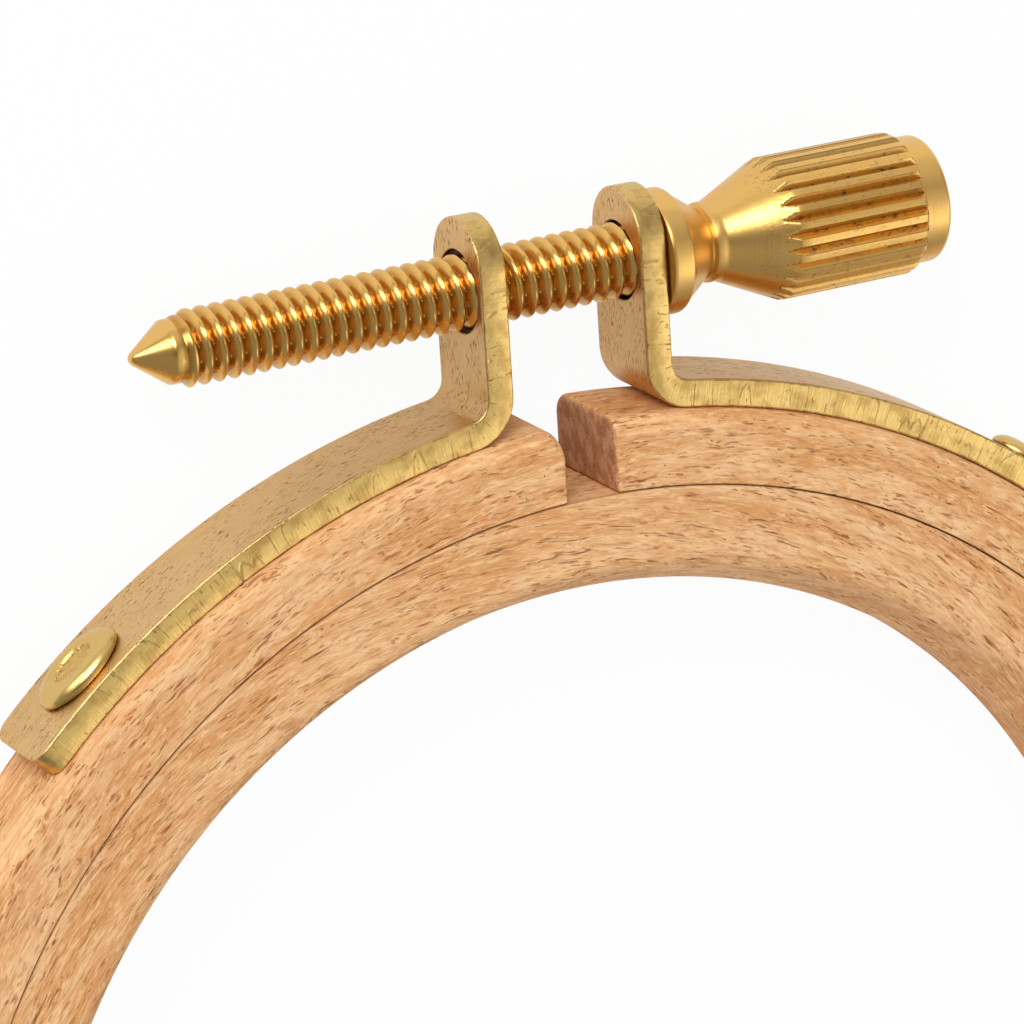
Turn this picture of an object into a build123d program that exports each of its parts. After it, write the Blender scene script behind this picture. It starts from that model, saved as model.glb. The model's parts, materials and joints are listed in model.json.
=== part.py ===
from build123d import *
import os
from math import atan2, cos, degrees, pi, radians, sin, sqrt

# Embroidery hoop, lying flat. Millimetres.
# The hoop's axis is Z, the middle of its height is z = 0, and the front face looks up.
# The split of the outer ring is on the +Y side, and the clamp screw runs along X above it,
# with its knob on the +X side.

# Rings
ring_height = 8.0
seam_radius = 46.7           # where the two rings meet
ring_fit = 0.06              # each ring stands this far back from the seam
inner_ring_thickness = 6.9   # seam to bore, radially, where the bore is narrowest
outer_ring_thickness = 4.8   # seam to outside, radially
bore_flare = 1.7             # how much the bore's radius grows towards the front face
bore_flare_height = 3.75     # how far down from the front face the flare reaches
bore_edge_round = 1.4        # the bore's front edge, sanded round for the hand
bore_crest_round = 1.0       # where the flare meets the straight wall
bore_back_round = 0.6        # the bore's back edge
outer_edge_round = 1.2       # the outside's two edges
seam_edge_break = 0.2        # the seam's edges are only just broken
split_gap = 3.4              # between the two ends of the outer ring
split_corner_round = 0.5     # upright corners of the ring's two ends

# Brackets, bent from flat strip
strip_thickness = 1.8
strip_width = 6.5
strip_seat_gap = 0.02        # between the strip and the wood
ear_spacing = 9.3            # between the two ears, across the split
bend_radius = 1.3            # on the hollow side of the bend
screw_height = 8.8           # screw axis above the outside of the ring
ear_above_hole = 4.7         # top of the ear above the screw axis
strap_end_angle = 45.7       # degrees from the split to the strap's end
rivet_angle = 39.0           # degrees from the split to the rivet
strap_corner_radius = 1.1    # the two corners at the strap's end

# Rivets
rivet_shank_diameter = 3.0
rivet_hole_clearance = 0.05  # all round the shank
rivet_head_diameter = 6.4
rivet_head_height = 1.08
rivet_wall_height = 0.38     # the head's upright side, below its dome
rivet_crest_diameter = 2.9   # where the dome is highest
rivet_hollow_diameter = 2.0  # the floor of the hollow inside the crest
rivet_hollow_depth = 0.3
rivet_seat_gap = 0.02
rivet_tail_diameter = 4.6
rivet_tail_depth = 0.9       # how far the tail flares, in its countersink
rivet_tail_sink = 0.25       # the tail lies this far below the seam face

# Clamp screw and its knob, turned in one piece
thread_diameter = 4.8
left_hole_clearance = 0.25   # all round the thread, where the left ear tilts as the ring opens
right_hole_clearance = 0.12  # all round the thread, where the screw only turns
ear_hole_mouth = 0.25        # chamfer at the hole's two mouths
neck_diameter = 4.0          # plain end below the thread's root
neck_length = 0.7
tip_length = 2.4
tip_flat_diameter = 0.6
tip_stand_out = 22.2         # tip beyond the left ear's outer face
collar_gap = 0.15            # collar to the right ear
collar_diameter = 8.0
collar_length = 1.5
collar_edge_round = 0.2
collar_back_length = 2.0     # the cone behind the collar
groove_diameter = 4.7
groove_length = 0.35
neck_ring_diameter = 5.1
neck_ring_length = 0.7
flare_length = 4.3
knurl_diameter = 9.1
knurl_length = 9.2
knurl_depth = 0.42
knurl_count = 26
knurl_land = 0.16            # flat left on each ridge
knurl_end_round = 0.4
knob_end_diameter = 8.1
knob_end_length = 1.8
knob_end_round = 0.35

overrun = 1.0                # how far every cutter runs past what it cuts

# What follows from the sizes above
half_height = ring_height / 2
inner_ring_outside = seam_radius - ring_fit
bore_radius = seam_radius - inner_ring_thickness
outer_ring_inside = seam_radius + ring_fit
outside_radius = seam_radius + outer_ring_thickness
strap_inside = outside_radius + strip_seat_gap
strap_outside = strap_inside + strip_thickness
screw_y = outside_radius + screw_height
ear_inner_x = ear_spacing / 2
ear_outer_x = ear_inner_x + strip_thickness
ear_top_y = screw_y + ear_above_hole
ear_arc_y = ear_top_y - strip_width / 2
wide_bend_radius = bend_radius + strip_thickness
bend_x = ear_inner_x + wide_bend_radius
bend_y = sqrt((strap_inside + wide_bend_radius) ** 2 - bend_x**2)
bend_angle = degrees(atan2(bend_y, bend_x))
rivet_hole_radius = rivet_shank_diameter / 2 + rivet_hole_clearance

# Where the screw's sections begin and end along its axis
tip_x = -(ear_outer_x + tip_stand_out)
cone_end = tip_x + tip_length
thread_start = cone_end + neck_length
collar_x = ear_outer_x + collar_gap
collar_end = collar_x + collar_length
groove_start = collar_end + collar_back_length
groove_end = groove_start + groove_length
flare_start = groove_end + neck_ring_length
knurl_start = flare_start + flare_length
knurl_end = knurl_start + knurl_length
knob_end = knurl_end + knob_end_length

RIGHT = 1
LEFT = -1


def about_hoop(radius, angle):
    """A point at this radius, at this many degrees from +X towards +Y."""
    return (radius * cos(radians(angle)), radius * sin(radians(angle)))


def arc(centre, radius, start, end):
    """An arc about a centre, from one angle to another in degrees."""
    points = []
    for angle in (start, (start + end) / 2, end):
        x, y = about_hoop(radius, angle)
        points.append((centre[0] + x, centre[1] + y))
    return ThreePointArc(*points)


def rounded_ring(corners):
    """A ring turned from a section, given as (radius, height, corner rounding)."""
    section = make_face(Polyline(*[(r, z) for r, z, _ in corners], close=True))
    for r, z, rounding in corners:
        corner = section.vertices().sort_by_distance((r, z))[0]
        section = fillet(corner, rounding)
    return revolve(Plane.XZ * section, Axis.Z)


def rivet_frame(side):
    """Stands on the seam at one rivet, with its Z axis pointing out through the strap."""
    angle = 90 - side * rivet_angle
    x, y = about_hoop(seam_radius, angle)
    outward = about_hoop(1, angle)
    return Plane(origin=(x, y, 0), x_dir=(0, 0, 1), z_dir=(outward[0], outward[1], 0))


def inner_ring():
    """The solid ring. Its bore is straight at the back and flares to the front face."""
    return rounded_ring([
        (inner_ring_outside, -half_height, seam_edge_break),
        (inner_ring_outside, half_height, seam_edge_break),
        (bore_radius + bore_flare, half_height, bore_edge_round),
        (bore_radius, half_height - bore_flare_height, bore_crest_round),
        (bore_radius, -half_height, bore_back_round),
    ])


def split_slot():
    """The space between the ring's two ends."""
    depth = outer_ring_thickness + 2 * overrun
    slot = Box(split_gap, depth, ring_height + 2 * overrun)
    return Pos(0, (outer_ring_inside + outside_radius) / 2, 0) * slot


def rivet_bore(side):
    """Hole for one rivet through the wood, with the countersink for its tail."""
    through = Cylinder(rivet_hole_radius, outer_ring_thickness + 2 * overrun)
    through = Pos(0, 0, outer_ring_thickness / 2) * through
    mouth = rivet_tail_diameter / 2 + rivet_hole_clearance
    sink_depth = rivet_tail_sink + rivet_tail_depth
    flare = Cone(mouth, rivet_hole_radius, rivet_tail_depth)
    flare = Pos(0, 0, rivet_tail_sink + rivet_tail_depth / 2) * flare
    entry = Cylinder(mouth, rivet_tail_sink + overrun)
    entry = Pos(0, 0, (rivet_tail_sink - overrun) / 2) * entry
    tool = through + flare + entry
    return rivet_frame(side) * tool


def outer_ring():
    """The split ring, with its ends' outer corners rounded and its two rivet holes."""
    ring = rounded_ring([
        (outer_ring_inside, -half_height, seam_edge_break),
        (outer_ring_inside, half_height, seam_edge_break),
        (outside_radius, half_height, outer_edge_round),
        (outside_radius, -half_height, outer_edge_round),
    ])
    ring -= split_slot()
    ends = ring.faces().filter_by(Axis.X)
    corners = ends.edges().filter_by(Axis.Z)
    corners = corners.filter_by(lambda e: e.center().Y > outside_radius - outer_edge_round)
    ring = fillet(corners, split_corner_round)
    for side in (LEFT, RIGHT):
        ring -= rivet_bore(side)
    return ring


def strip_profile():
    """Edge view of the right bracket: strap along the ring, bend, and ear."""
    strap_end = 90 - strap_end_angle
    bend_centre = (bend_x, bend_y)
    into_bend = bend_angle + 180
    lines = [
        arc((0, 0), strap_inside, strap_end, bend_angle),
        arc(bend_centre, wide_bend_radius, into_bend, 180),
        Line((ear_inner_x, bend_y), (ear_inner_x, ear_top_y)),
        Line((ear_inner_x, ear_top_y), (ear_outer_x, ear_top_y)),
        Line((ear_outer_x, ear_top_y), (ear_outer_x, bend_y)),
        arc(bend_centre, bend_radius, 180, into_bend),
        arc((0, 0), strap_outside, bend_angle, strap_end),
        Line(about_hoop(strap_outside, strap_end), about_hoop(strap_inside, strap_end)),
    ]
    return make_face(Wire(lines))


def ear_corner_cutter():
    """What is cut from the square end of the strip to leave the ear's round top."""
    across = strip_width / 2 + overrun
    block = Box(ear_spacing, ear_above_hole + overrun, 2 * across)
    block = Pos(ear_outer_x, ear_arc_y + (ear_above_hole + overrun) / 2, 0) * block
    keep = Cylinder(strip_width / 2, 2 * ear_spacing)
    return block - Pos(ear_outer_x, ear_arc_y, 0) * Rot(0, 90, 0) * keep


def ear_hole_cutter(clearance):
    """Hole through the ear, with a chamfer at each mouth."""
    radius = thread_diameter / 2 + clearance
    hole = Cylinder(radius, strip_thickness + 2 * overrun)
    for end in (-1, 1):
        mouth = Cone(radius + ear_hole_mouth, radius, ear_hole_mouth)
        if end > 0:
            mouth = Rot(180, 0, 0) * mouth
        hole += Pos(0, 0, end * (strip_thickness - ear_hole_mouth) / 2) * mouth
    middle_x = (ear_inner_x + ear_outer_x) / 2
    return Pos(middle_x, screw_y, 0) * Rot(0, 90, 0) * hole


def bracket(side):
    """One bent bracket. The left one is the right one's mirror image."""
    body = extrude(strip_profile(), strip_width / 2, both=True)
    end_x, end_y = about_hoop((strap_inside + strap_outside) / 2, 90 - strap_end_angle)
    strap_end = body.faces().sort_by_distance((end_x, end_y, 0))[0]
    by_height = strap_end.edges().group_by(Axis.Z)
    body = fillet(by_height[0] + by_height[-1], strap_corner_radius)
    body -= ear_corner_cutter()
    body -= ear_hole_cutter(right_hole_clearance if side == RIGHT else left_hole_clearance)
    through = Cylinder(rivet_hole_radius, strip_thickness + 2 * overrun)
    middle = outer_ring_thickness + strip_seat_gap + strip_thickness / 2
    body -= rivet_frame(RIGHT) * Pos(0, 0, middle) * through
    if side == LEFT:
        body = mirror(body, Plane.YZ)
    return body


def level_arc_radius(across, drop):
    """Radius of an arc that starts level and drops this far while it goes this far across."""
    return (across**2 + drop**2) / (2 * drop)


def rivet(side):
    """One rivet: domed head with a hollow in the middle, shank, and flared tail."""
    seat = outer_ring_thickness + strip_seat_gap + strip_thickness + rivet_seat_gap
    head = rivet_head_diameter / 2
    wall_top = seat + rivet_wall_height
    top = seat + rivet_head_height
    crest = rivet_crest_diameter / 2
    hollow = rivet_hollow_diameter / 2
    floor = top - rivet_hollow_depth
    tail = rivet_tail_diameter / 2
    shank = rivet_shank_diameter / 2
    bottom = rivet_tail_sink
    tail_top = rivet_tail_sink + rivet_tail_depth - rivet_hole_clearance
    dome_radius = level_arc_radius(head - crest, top - wall_top)
    hollow_radius = level_arc_radius(crest - hollow, top - floor)
    lines = [
        Line((0, bottom), (tail, bottom)),
        Line((tail, bottom), (shank, tail_top)),
        Line((shank, tail_top), (shank, seat)),
        Line((shank, seat), (head, seat)),
        Line((head, seat), (head, wall_top)),
        RadiusArc((head, wall_top), (crest, top), -dome_radius),
        RadiusArc((crest, top), (hollow, floor), -hollow_radius),
        Line((hollow, floor), (0, floor)),
        Line((0, floor), (0, bottom)),
    ]
    section = make_face(Wire(lines))
    solid = revolve(Plane.XZ * section, Axis.Z)
    return rivet_frame(side) * solid


def screw_outline():
    """Half outline of the screw: (distance along its axis, radius), from tip to knob end."""
    thread = thread_diameter / 2
    return [
        (tip_x, 0),
        (tip_x, tip_flat_diameter / 2),
        (cone_end, neck_diameter / 2),
        (thread_start, neck_diameter / 2),
        (thread_start + (thread_diameter - neck_diameter) / 2, thread),
        (collar_x, thread),
        (collar_x, collar_diameter / 2 - collar_edge_round),
        (collar_x + collar_edge_round, collar_diameter / 2),
        (collar_end - collar_edge_round, collar_diameter / 2),
        (collar_end, collar_diameter / 2 - collar_edge_round),
        (groove_start, groove_diameter / 2),
        (groove_end, groove_diameter / 2),
        (groove_end, neck_ring_diameter / 2),
        (flare_start, neck_ring_diameter / 2),
        (knurl_start, knurl_diameter / 2),
        (knurl_end - knurl_end_round, knurl_diameter / 2),
        (knurl_end, knob_end_diameter / 2),
        (knob_end - knob_end_round, knob_end_diameter / 2),
        (knob_end, knob_end_diameter / 2 - knob_end_round),
        (knob_end, 0),
    ]


def knurl_cutter():
    """The V grooves of the knurl, run out over the flare at one end and the plain end at the other."""
    crest = knurl_diameter / 2
    root = crest - knurl_depth
    half_mouth = (pi * knurl_diameter / knurl_count - knurl_land) / 2
    top = crest + overrun
    half_top = half_mouth * (top - root) / knurl_depth
    groove = make_face(Polyline((0, root), (half_top, top), (-half_top, top), (0, root)))
    prism = extrude(Plane.YZ * groove, knurl_end - flare_start + overrun)
    prism = Pos(flare_start, 0, 0) * prism
    copies = []
    for index in range(knurl_count):
        copies.append(Rot(360 * index / knurl_count, 0, 0) * prism)
    return copies


def clamp_screw():
    section = make_face(Polyline(*screw_outline(), close=True))
    solid = revolve(section, Axis.X)
    solid = solid - knurl_cutter()
    return Pos(0, screw_y, 0) * solid


NODES = {
    "inner_ring": inner_ring,
    "outer_ring": outer_ring,
    "left_bracket": lambda: bracket(LEFT),
    "right_bracket": lambda: bracket(RIGHT),
    "left_rivet": lambda: rivet(LEFT),
    "right_rivet": lambda: rivet(RIGHT),
    "clamp_screw": clamp_screw,
}

os.makedirs("parts", exist_ok=True)
for node, make in NODES.items():
    export_step(make(), "parts/" + node + ".step")
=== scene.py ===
# %% [markdown]
# # An embroidery hoop
# Two beech rings, one inside the other, hold the cloth between them. The outer ring is split, and a long
# screw through two brass ears pulls its ends together. The CAD model gives the sizes and the moving
# bodies. This script dresses that model: fine meshes, wood, brass, light and a camera.

# %% Load the fixed frame
import json
from math import acos, asin, atan2, cos, pi, radians, sin, sqrt, tan

import bpy
import numpy as np
from mathutils import Matrix, Vector

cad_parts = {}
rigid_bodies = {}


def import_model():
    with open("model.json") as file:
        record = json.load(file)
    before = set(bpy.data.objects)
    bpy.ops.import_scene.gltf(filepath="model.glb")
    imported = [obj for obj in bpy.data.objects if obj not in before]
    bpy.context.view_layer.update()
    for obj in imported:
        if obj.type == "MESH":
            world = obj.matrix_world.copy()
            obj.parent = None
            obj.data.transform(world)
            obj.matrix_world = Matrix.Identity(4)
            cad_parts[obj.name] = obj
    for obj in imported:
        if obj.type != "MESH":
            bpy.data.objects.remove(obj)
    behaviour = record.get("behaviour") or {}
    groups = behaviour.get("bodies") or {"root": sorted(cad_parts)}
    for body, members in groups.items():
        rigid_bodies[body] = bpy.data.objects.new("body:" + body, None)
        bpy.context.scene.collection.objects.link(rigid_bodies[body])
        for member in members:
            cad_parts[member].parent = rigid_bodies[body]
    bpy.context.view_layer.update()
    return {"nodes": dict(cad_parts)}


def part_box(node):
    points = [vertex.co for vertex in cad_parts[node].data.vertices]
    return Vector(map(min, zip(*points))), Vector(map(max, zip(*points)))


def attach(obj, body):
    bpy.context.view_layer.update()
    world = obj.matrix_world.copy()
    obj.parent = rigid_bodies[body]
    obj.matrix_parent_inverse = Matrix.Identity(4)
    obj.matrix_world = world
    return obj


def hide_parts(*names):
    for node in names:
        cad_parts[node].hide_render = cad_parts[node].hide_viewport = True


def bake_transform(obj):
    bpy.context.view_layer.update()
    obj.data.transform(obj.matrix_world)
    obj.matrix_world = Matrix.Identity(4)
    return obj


for leftover in list(bpy.data.objects):
    bpy.data.objects.remove(leftover)
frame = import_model()
scene = bpy.context.scene
scene.view_settings.view_transform = "Standard"
MM = 0.001

# %% [markdown]
# ## The hoop's sizes
# The meshes below stand in the places of the CAD solids, so they are built from the same main sizes, in
# millimetres. A few small roundings and the rivets' heads follow the photograph more closely. A check at
# the end of each piece compares its box with the box of the solid that it stands for. The seam is drawn
# tighter than the CAD model's 0.12 mm, because in the photograph it is as thin as a hair.

# %% Sizes of the rings
HALF_HEIGHT = 4.0
SEAM_RADIUS = 46.7
SEAM_HALF = 0.035
INNER_OUTSIDE = SEAM_RADIUS - SEAM_HALF
OUTER_INSIDE = SEAM_RADIUS + SEAM_HALF
OUTSIDE = 51.5
BORE = 39.8
BORE_AT_FRONT = 41.5
FLARE_HEIGHT = 3.75
HALF_GAP = 1.7

# %% Sizes of the brackets and the screw
STRIP = 1.8
STRIP_HALF_WIDTH = 3.25
STRAP_INSIDE = 51.52
EAR_INNER_X = 4.65
EAR_OUTER_X = EAR_INNER_X + STRIP
SCREW_Y = 60.3
EAR_TOP_Y = 65.0
HOLLOW_BEND = 1.3
WIDE_BEND = HOLLOW_BEND + STRIP
BEND_X = EAR_INNER_X + WIDE_BEND
BEND_Y = sqrt((STRAP_INSIDE + WIDE_BEND) ** 2 - BEND_X ** 2)
BEND_ANGLE = atan2(BEND_Y, BEND_X)
STRAP_END = radians(90 - 45.7)
RIVET_TURN = radians(39.0)
print("bend centre:", round(BEND_X, 2), round(BEND_Y, 2))

# %% [markdown]
# ## Meshes from rows of points
# A ring, a strip and a screw are all rows of points with a skin of four-sided faces over them. Blender
# could also spin or bevel simple shapes, but rows keep every face in a known place, so a worn corner or a
# thread is only a change of the numbers in its row.

# %% Rows to faces
def skin(first, rows, points, wrap_rows=False, wrap_points=True):
    """Faces over a grid of rows whose first point has this number."""
    last_row = rows if wrap_rows else rows - 1
    last_point = points if wrap_points else points - 1
    faces = []
    for row in range(last_row):
        here = first + row * points
        there = first + ((row + 1) % rows) * points
        for point in range(last_point):
            beside = (point + 1) % points
            faces.append((here + point, here + beside, there + beside, there + point))
    return faces


def make_piece(name, points, faces, sharp=40):
    """A mesh object from points in millimetres. Edges that turn by more than sharp degrees stay crisp."""
    mesh = bpy.data.meshes.new(name)
    mesh.from_pydata((np.asarray(points, float) * MM).tolist(), [], faces)
    piece = bpy.data.objects.new(name, mesh)
    scene.collection.objects.link(piece)
    finish_normals(piece, sharp)
    return piece


def finish_normals(piece, sharp):
    mesh = piece.data
    mesh.shade_smooth()
    mesh.set_sharp_from_angle(angle=radians(sharp))
    mesh.update()


def quarter(steps, first=0):
    """Sines and cosines over a quarter turn, in even steps."""
    angles = [pi / 2 * step / steps for step in range(first, steps + 1)]
    return [(sin(angle), cos(angle)) for angle in angles]


def outline_with_rounds(corners, steps=6, support=0.05):
    """A closed outline with round corners, from (x, y, radius) corners. A point just beside each round
    keeps the flats flat in the shading."""
    points = []
    for index, (x, y, radius) in enumerate(corners):
        here = np.array((x, y))
        back = np.array(corners[index - 1][:2]) - here
        ahead = np.array(corners[(index + 1) % len(corners)][:2]) - here
        back /= np.linalg.norm(back)
        ahead /= np.linalg.norm(ahead)
        half = acos(np.clip(back @ ahead, -1, 1)) / 2
        reach = radius / tan(half)
        middle = (back + ahead) / np.linalg.norm(back + ahead)
        centre = here + middle * radius / sin(half)
        start = here + back * reach - centre
        end = here + ahead * reach - centre
        turn = atan2(start[0] * end[1] - start[1] * end[0], start @ end)
        first = atan2(start[1], start[0])
        points.append(centre + start + back * support)
        for step in range(steps + 1):
            angle = first + turn * step / steps
            points.append(centre + radius * np.array((cos(angle), sin(angle))))
        points.append(centre + end + ahead * support)
    return np.array(points)


# %% [markdown]
# ## Holes
# The ears, the straps and the wood are drilled. A Boolean modifier does what a drill does: it takes a
# turned cutter away from the piece. It is applied at once, so the mesh itself has the real hole.

# %% Turned shapes and drilling
def turned(name, outline, steps, place, sharp=40):
    """A solid turned on a lathe. Its outline is (height, radius) pairs that rise along the axis and
    begin and end on it."""
    angles = np.arange(steps) * 2 * pi / steps
    points = [(0, 0, outline[0][0])]
    for height, radius in outline[1:-1]:
        points += [(radius * cos(angle), radius * sin(angle), height) for angle in angles]
    last = len(points)
    points.append((0, 0, outline[-1][0]))
    faces = []
    for point in range(steps):
        beside = (point + 1) % steps
        faces.append((0, 1 + beside, 1 + point))
        faces.append((last, last - steps + point, last - steps + beside))
    faces += skin(1, len(outline) - 2, steps)
    return make_piece(name, [place @ Vector(point) for point in points], faces, sharp)


def drill(piece, cutter, sharp=40):
    """Takes the cutter away from the piece for good."""
    bit = piece.modifiers.new("drill", "BOOLEAN")
    bit.operation = "DIFFERENCE"
    bit.solver = "EXACT"
    bit.object = cutter
    bpy.context.view_layer.update()
    graph = bpy.context.evaluated_depsgraph_get()
    drilled = bpy.data.meshes.new_from_object(piece.evaluated_get(graph))
    piece.modifiers.clear()
    piece.data = drilled
    drilled.name = piece.name
    bpy.data.objects.remove(cutter)
    finish_normals(piece, sharp)


def axis_place(origin, direction):
    """Puts a turned shape's axis on this line, with its height zero at the origin."""
    turn = Vector((0, 0, 1)).rotation_difference(Vector(direction)).to_matrix().to_4x4()
    return Matrix.Translation(origin) @ turn


def remember_places(piece, name, places):
    """Writes one place for each point, in millimetres, for the finishes to read."""
    layer = piece.data.attributes.new(name, "FLOAT_VECTOR", "POINT")
    layer.data.foreach_set("vector", np.asarray(places, np.float32).ravel())


def remember_rest(piece):
    """Writes each point's place at rest, and gives the places back."""
    places = np.zeros(len(piece.data.vertices) * 3, np.float32)
    piece.data.vertices.foreach_get("co", places)
    places = places.reshape(-1, 3) / MM
    remember_places(piece, "rest", places)
    return places


def compare_box(piece, node):
    """Prints how far the piece's box is from the box of the solid that it stands for, in millimetres."""
    low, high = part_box(node)
    places = np.array([v.co for v in piece.data.vertices])
    off = max(np.abs(places.min(0) - low).max(), np.abs(places.max(0) - high).max())
    print(piece.name, len(places), "points, box off by", round(float(off) / MM, 3), "mm")


# %% [markdown]
# ## The inner ring
# The inner ring is one strip of beech bent to a circle. Its front edge is sanded round where the hand
# holds it, and the wall of the bore leans outwards to the front. A section with round corners is carried
# once round the axis. The seam's faces swell by a hair at half height, where the wood is pressed
# together, so that no light comes through the seam.

# %% Make the inner ring
TOUCH = 0.005
SEAM_EDGE = 0.12
SEAM_SWELL = 0.2
# Each corner is a radius, a height and a rounding.
INNER_CORNERS = [
    (INNER_OUTSIDE, -HALF_HEIGHT, SEAM_EDGE),
    (SEAM_RADIUS - TOUCH, 0, SEAM_SWELL),
    (INNER_OUTSIDE, HALF_HEIGHT, SEAM_EDGE),
    (BORE_AT_FRONT, HALF_HEIGHT, 1.4),
    (BORE, HALF_HEIGHT - FLARE_HEIGHT, 1.0),
    (BORE, -HALF_HEIGHT, 0.6),
]
RING_STEPS = 480


def ring_point(radius, angle, height):
    """A point of a ring, at this angle from the split towards the knob."""
    return (radius * sin(angle), radius * cos(angle), height)


def make_inner_ring():
    section = outline_with_rounds(INNER_CORNERS)
    points = []
    for step in range(RING_STEPS):
        angle = 2 * pi * step / RING_STEPS
        points.extend(ring_point(radius, angle, height) for radius, height in section)
    ring = make_piece("inner_ring_beech", points, skin(0, RING_STEPS, len(section), wrap_rows=True))
    remember_rest(ring)
    return ring


inner_ring = make_inner_ring()
compare_box(inner_ring, "inner_ring")

# %% [markdown]
# ## The outer ring
# The outer ring is a thinner strip, left open. Its ends are sawn square and only lightly sanded. The end
# on the left has its outer corner worn off, and the other end is nearly sharp. Each row near an end draws
# in from the full section by the amount of that rounding, so the worn corner needs no separate bevel.

# %% Make the outer ring
OUTSIDE_EDGE = 1.2
OUTER_CORNERS = [
    (OUTER_INSIDE, -HALF_HEIGHT, SEAM_EDGE),
    (SEAM_RADIUS + TOUCH, 0, SEAM_SWELL),
    (OUTER_INSIDE, HALF_HEIGHT, SEAM_EDGE),
    (OUTSIDE, HALF_HEIGHT, OUTSIDE_EDGE),
    (OUTSIDE, -HALF_HEIGHT, OUTSIDE_EDGE),
]
# Distances of the rows from a sawn end, and how full the rows are that close it.
END_STATIONS = (0, 0.01, 0.04, 0.09, 0.16, 0.25, 0.34, 0.44, 0.56, 0.7, 0.86, 1.04, 1.25, 1.5, 1.8, 2.15)
END_SCALES = (0.05, 0.35, 0.65, 0.9)
WORN_CORNER = 1.5
SHARP_CORNER = 0.45
END_EDGE = 0.25


def draw_in(distance, rounding):
    """How far a rounded edge stands back, this far from the end."""
    left = max(rounding - distance, 0)
    return rounding - sqrt(rounding ** 2 - left ** 2)


def end_row(section, distance, side, scale=1.0):
    """One row at this distance from an end; side is 1 at the knob's end and -1 at the other."""
    outer_round = SHARP_CORNER if side > 0 else WORN_CORNER
    inside = OUTER_INSIDE + draw_in(distance, END_EDGE)
    outside = OUTSIDE - draw_in(distance, outer_round)
    squash = (HALF_HEIGHT - draw_in(distance, END_EDGE)) / HALF_HEIGHT
    middle = (inside + outside) / 2
    row = []
    for radius, height in section:
        share = (radius - OUTER_INSIDE) / (OUTSIDE - OUTER_INSIDE)
        radius = middle + (inside + share * (outside - inside) - middle) * scale
        across = side * (HALF_GAP + distance)
        row.append((across, sqrt(radius ** 2 - across ** 2), height * squash * scale))
    return row


def middle_rows(section):
    """The rows between the ends, fanned out evenly from one end's last upright row to the other's."""
    last_upright = HALF_GAP + END_STATIONS[-1]
    rows = []
    for step in range(1, RING_STEPS):
        share = step / RING_STEPS
        row = []
        for radius, height in section:
            start = asin(last_upright / radius)
            row.append(ring_point(radius, start + share * (2 * pi - 2 * start), height))
        rows.append(row)
    return rows


def make_outer_ring():
    section = outline_with_rounds(OUTER_CORNERS)
    rows = [end_row(section, 0, 1, scale) for scale in END_SCALES]
    rows += [end_row(section, distance, 1) for distance in END_STATIONS]
    rows += middle_rows(section)
    rows += [end_row(section, distance, -1) for distance in reversed(END_STATIONS)]
    rows += [end_row(section, 0, -1, scale) for scale in reversed(END_SCALES)]
    count = len(section)
    points = [point for row in rows for point in row]
    faces = skin(0, len(rows), count)
    faces.append(tuple(reversed(range(count))))
    faces.append(tuple(range((len(rows) - 1) * count, len(rows) * count)))
    print("outer ring rows:", len(rows), "split at the outside:", 2 * HALF_GAP, "mm")
    return make_piece("outer_ring_beech", points, faces)


outer_ring = make_outer_ring()

# %% [markdown]
# The rivets' tails are spread in countersinks on the seam side, hidden until the inner ring is out.

# %% Drill the outer ring for its rivets
RIVET_HOLE = 1.55
COUNTERSINK = 2.35
SINK_STRAIGHT = 0.25
SINK_CONE = 0.9
DRILL_START = -1
PAST_WOOD = 6
DRILL_STEPS = 48


def rivet_axis(side):
    """A rivet's line: from the seam outwards, at this side of the split."""
    outward = Vector((side * sin(RIVET_TURN), cos(RIVET_TURN), 0))
    return axis_place(outward * SEAM_RADIUS, outward)


rivet_drill = [(DRILL_START, 0), (DRILL_START, COUNTERSINK), (SINK_STRAIGHT, COUNTERSINK),
               (SINK_STRAIGHT + SINK_CONE, RIVET_HOLE), (PAST_WOOD, RIVET_HOLE), (PAST_WOOD, 0)]
for side in (-1, 1):
    drill(outer_ring, turned("rivet_drill", rivet_drill, DRILL_STEPS, rivet_axis(side)))
remember_rest(outer_ring)
compare_box(outer_ring, "outer_ring")

# %% [markdown]
# ## The brackets
# Each bracket is a piece of flat brass strip, sheared to length, rounded at its ends, drilled, and bent
# over a former. It is made here as on the bench: first the flat blank, as a grid over its length and
# width with a soft edge all round, then every point is carried round the bend.

# %% The blank and the bend
STRAP_CORNER = 1.1
EDGE_SOFTNESS = 0.14
STRAP_MIDDLE = STRAP_INSIDE + STRIP / 2
BEND_MIDDLE = WIDE_BEND - STRIP / 2
STRAP_LENGTH = STRAP_MIDDLE * (BEND_ANGLE - STRAP_END)
BEND_LENGTH = BEND_MIDDLE * BEND_ANGLE
EAR_START = STRAP_LENGTH + BEND_LENGTH
BLANK_LENGTH = EAR_START + EAR_TOP_Y - BEND_Y
ACROSS = (-1, -0.965, -0.7, -0.35, 0, 0.35, 0.7, 0.965, 1)
print("blank length:", round(BLANK_LENGTH, 2), "mm")


def bend(along, depth):
    """Where a point of the blank goes: along its length, and depth from the face on the wood."""
    if along <= STRAP_LENGTH:
        angle = STRAP_END + along / STRAP_MIDDLE
        radius = STRAP_INSIDE + depth
        return (radius * cos(angle), radius * sin(angle))
    if along <= EAR_START:
        angle = BEND_ANGLE + pi - (along - STRAP_LENGTH) / BEND_MIDDLE
        radius = WIDE_BEND - depth
        return (BEND_X + radius * cos(angle), BEND_Y + radius * sin(angle))
    return (EAR_INNER_X + depth, BEND_Y + along - EAR_START)


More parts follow.
